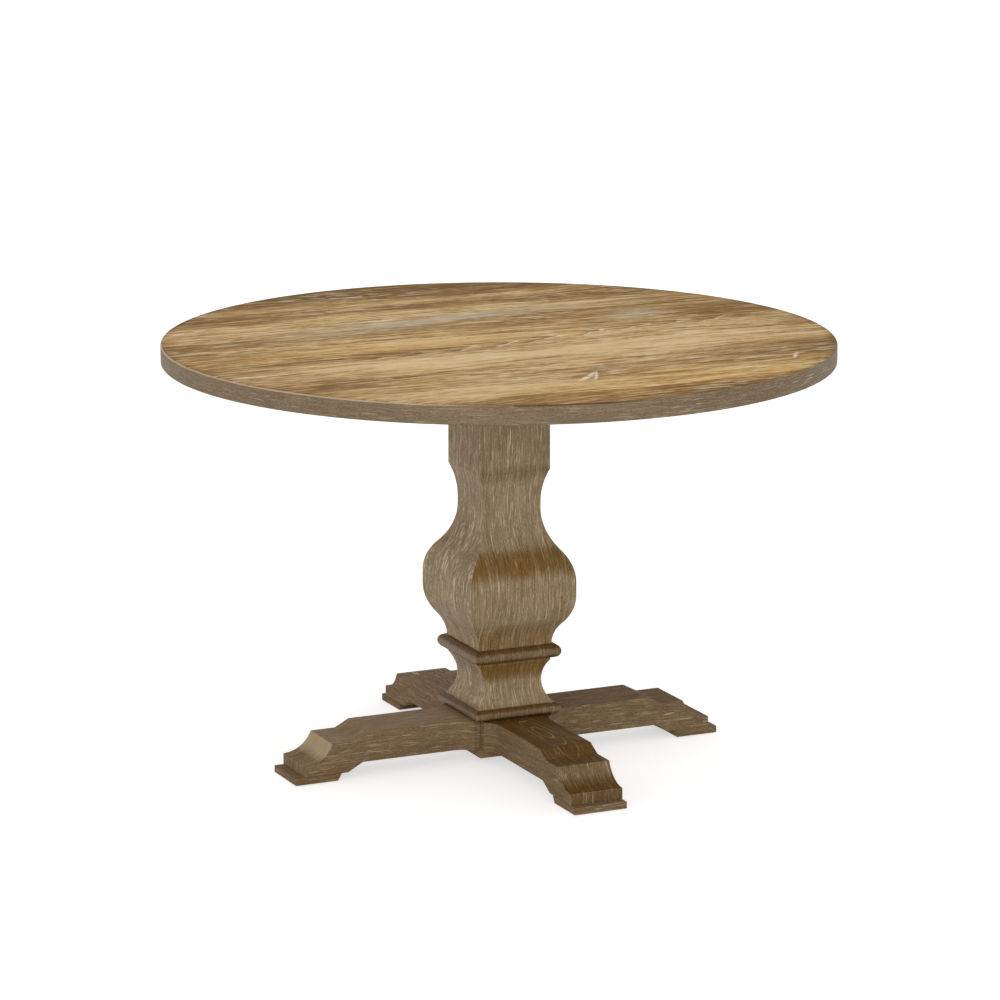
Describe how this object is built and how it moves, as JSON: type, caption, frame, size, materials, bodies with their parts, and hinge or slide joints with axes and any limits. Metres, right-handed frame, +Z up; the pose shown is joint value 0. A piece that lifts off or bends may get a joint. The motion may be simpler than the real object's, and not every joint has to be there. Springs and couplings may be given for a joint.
{
  "type": "round pedestal table",
  "caption": "Round wooden dining table on a square baluster pedestal with four sawn feet; fixed top on a tie-rod column.",
  "frame": {"origin": "on the floor under the middle of the table", "axes": "+Z up; the feet run along X and Y and the grain of the top runs along X"},
  "size_m": [1.2, 1.2, 0.762],
  "materials": {
    "oak_face": "limed oak, satin lacquer",
    "oak_edge": "limed oak, satin lacquer",
    "oak_turned": "limed oak, satin lacquer",
    "oak_mould": "limed oak, satin lacquer",
    "oak_leg": "limed oak, satin lacquer",
    "oak_hidden": "plain oak, unfinished",
    "core_board": "engineered board, raw",
    "beech_dowel": "plain beech",
    "zinc_steel": "zinc plated",
    "nylon_glide": "matte"
  },
  "bodies": {
    "root": {"top_face_veneer": "oak_face", "top_core": "core_board", "top_back_veneer": "oak_hidden", "edge_band": "oak_edge", "backing_board": "oak_hidden", "mounting_plate": "oak_hidden", "plate_screws": "zinc_steel", "column": "oak_turned", "upper_bead_right": "oak_mould", "upper_bead_back": "oak_mould", "upper_bead_left": "oak_mould", "upper_bead_front": "oak_mould", "waist_block": "oak_turned", "lower_bead_right": "oak_mould", "lower_bead_back": "oak_mould", "lower_bead_left": "oak_mould", "lower_bead_front": "oak_mould", "hub_block": "oak_leg", "leg_right": "oak_leg", "leg_back": "oak_leg", "leg_left": "oak_leg", "leg_front": "oak_leg", "foot_pad_right": "oak_leg", "foot_pad_back": "oak_leg", "foot_pad_left": "oak_leg", "foot_pad_front": "oak_leg", "tenon_pins": "beech_dowel", "foot_screws": "zinc_steel", "glides": "nylon_glide", "tie_rod": "zinc_steel", "tie_rod_washers": "zinc_steel", "tie_rod_nuts": "zinc_steel", "plate_dowels": "beech_dowel", "column_dowels": "beech_dowel", "hub_dowels": "beech_dowel"}
  },
  "joints": []
}
